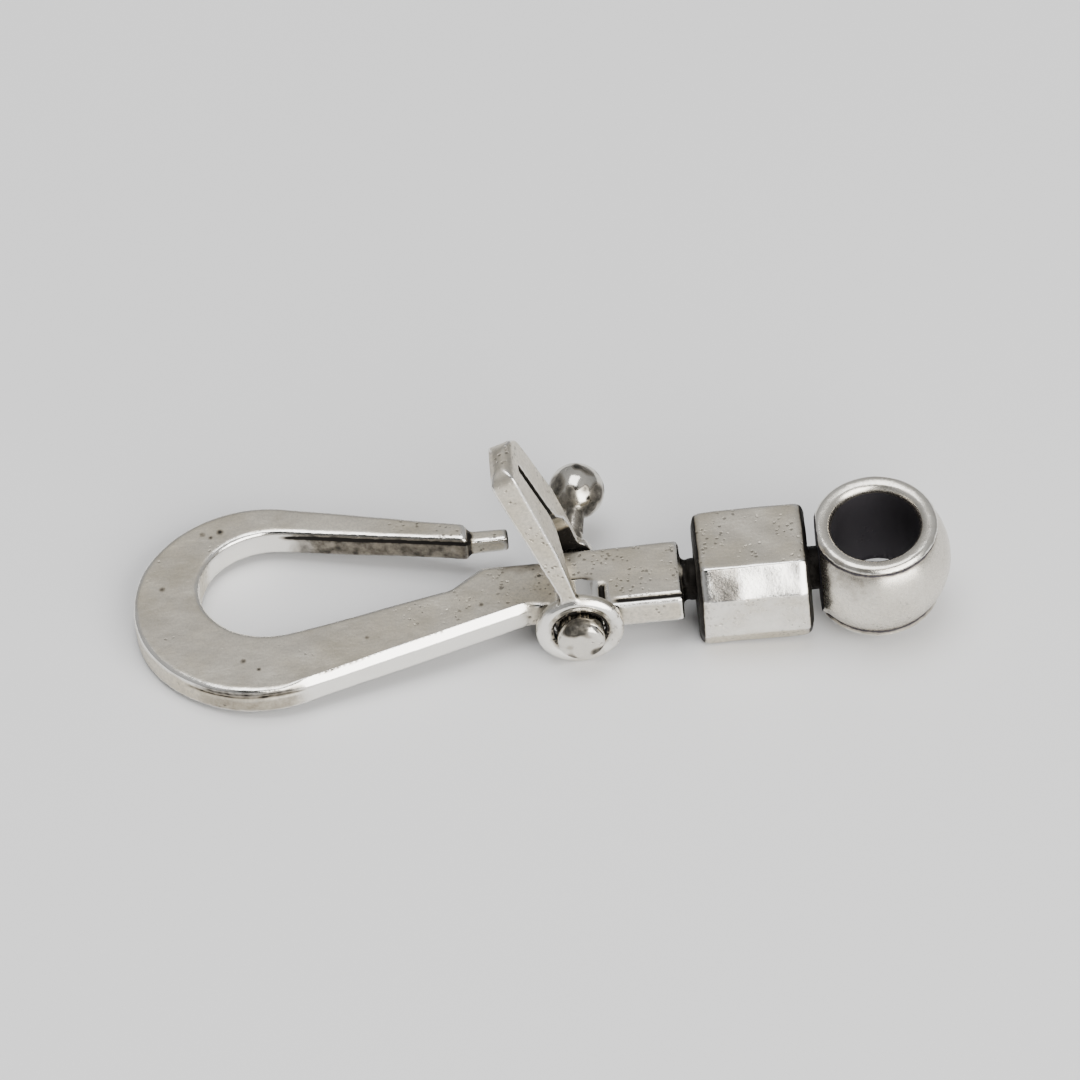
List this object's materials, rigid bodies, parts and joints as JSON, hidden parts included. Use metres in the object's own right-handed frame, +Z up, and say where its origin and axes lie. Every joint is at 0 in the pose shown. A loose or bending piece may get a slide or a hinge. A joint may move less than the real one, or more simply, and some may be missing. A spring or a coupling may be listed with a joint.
{
  "type": "hook clasp",
  "caption": "Flat teardrop hook clasp in darkened silver, with a hinged wishbone keeper over its throat, a cut-corner collar and a barrel eye bead for the cord end.",
  "frame": {"origin": "on the surface that the clasp lies on, under the middle of its bounding box", "axes": "+X along the clasp from the round end of the hook to the eye bead, +Y to the ball end of the cross pin, +Z up"},
  "size_m": [0.0218, 0.0072, 0.0067],
  "materials": {
    "satin_silver": "satin silver, darkened in its pits and along its grooves",
    "bright_silver": "polished silver with dark tarnish where pieces meet"
  },
  "bodies": {
    "clasp": {"hook": "satin_silver", "pivot_pin": "bright_silver", "collar": "satin_silver", "eye_bead": "bright_silver"},
    "keeper": {"keeper": "satin_silver"}
  },
  "joints": [
    {"name": "keeper_hinge", "type": "hinge", "parent": "clasp", "child": "keeper", "pos_m": [0.00092, -0.00058, 0.00122], "axis": [0, 1, 0], "range_deg": [-50, 72]}
  ]
}
